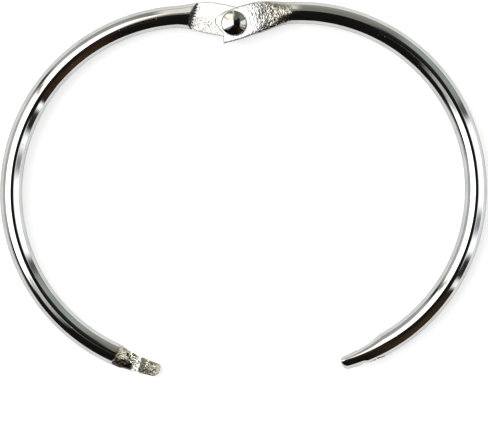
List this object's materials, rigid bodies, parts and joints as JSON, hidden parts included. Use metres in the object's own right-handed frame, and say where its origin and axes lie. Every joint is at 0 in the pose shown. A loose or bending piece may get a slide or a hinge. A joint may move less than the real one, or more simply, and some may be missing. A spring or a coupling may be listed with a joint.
{
  "type": "binder ring",
  "caption": "Hinged binder ring of bright plated round wire, shown open: flattened ears riveted over each other at the top, and notched tips that snap together at the bottom.",
  "frame": {"origin": "centre of the left half's circle, which is the centre of the closed ring, in the middle of the wire", "axes": "+Z is the ring's axis on the side of the rivet's domed head, +Y points up towards the hinge, and +X points from the left half to the right half. The ring lies flat in the XY plane."},
  "size_m": [0.0747, 0.0576, 0.0046],
  "materials": {
    "nickel_left": "bright nickel plate on round steel wire, pressed rough at the snap tip and satin on the flattened ear",
    "nickel_right": "bright nickel plate on round steel wire, dimpled by the press on the flattened ear",
    "nickel_rivet": "bright nickel plate on a smooth domed head"
  },
  "bodies": {
    "left_half": {"left_arm": "nickel_left", "hinge_rivet": "nickel_rivet"},
    "right_half": {"right_arm": "nickel_right"}
  },
  "joints": [
    {"name": "ring_hinge", "type": "hinge", "parent": "left_half", "child": "right_half", "pos_m": [0.00707, 0.02601, 0], "axis": [0, 0, 1], "range_deg": [-36.8, 108]}
  ]
}
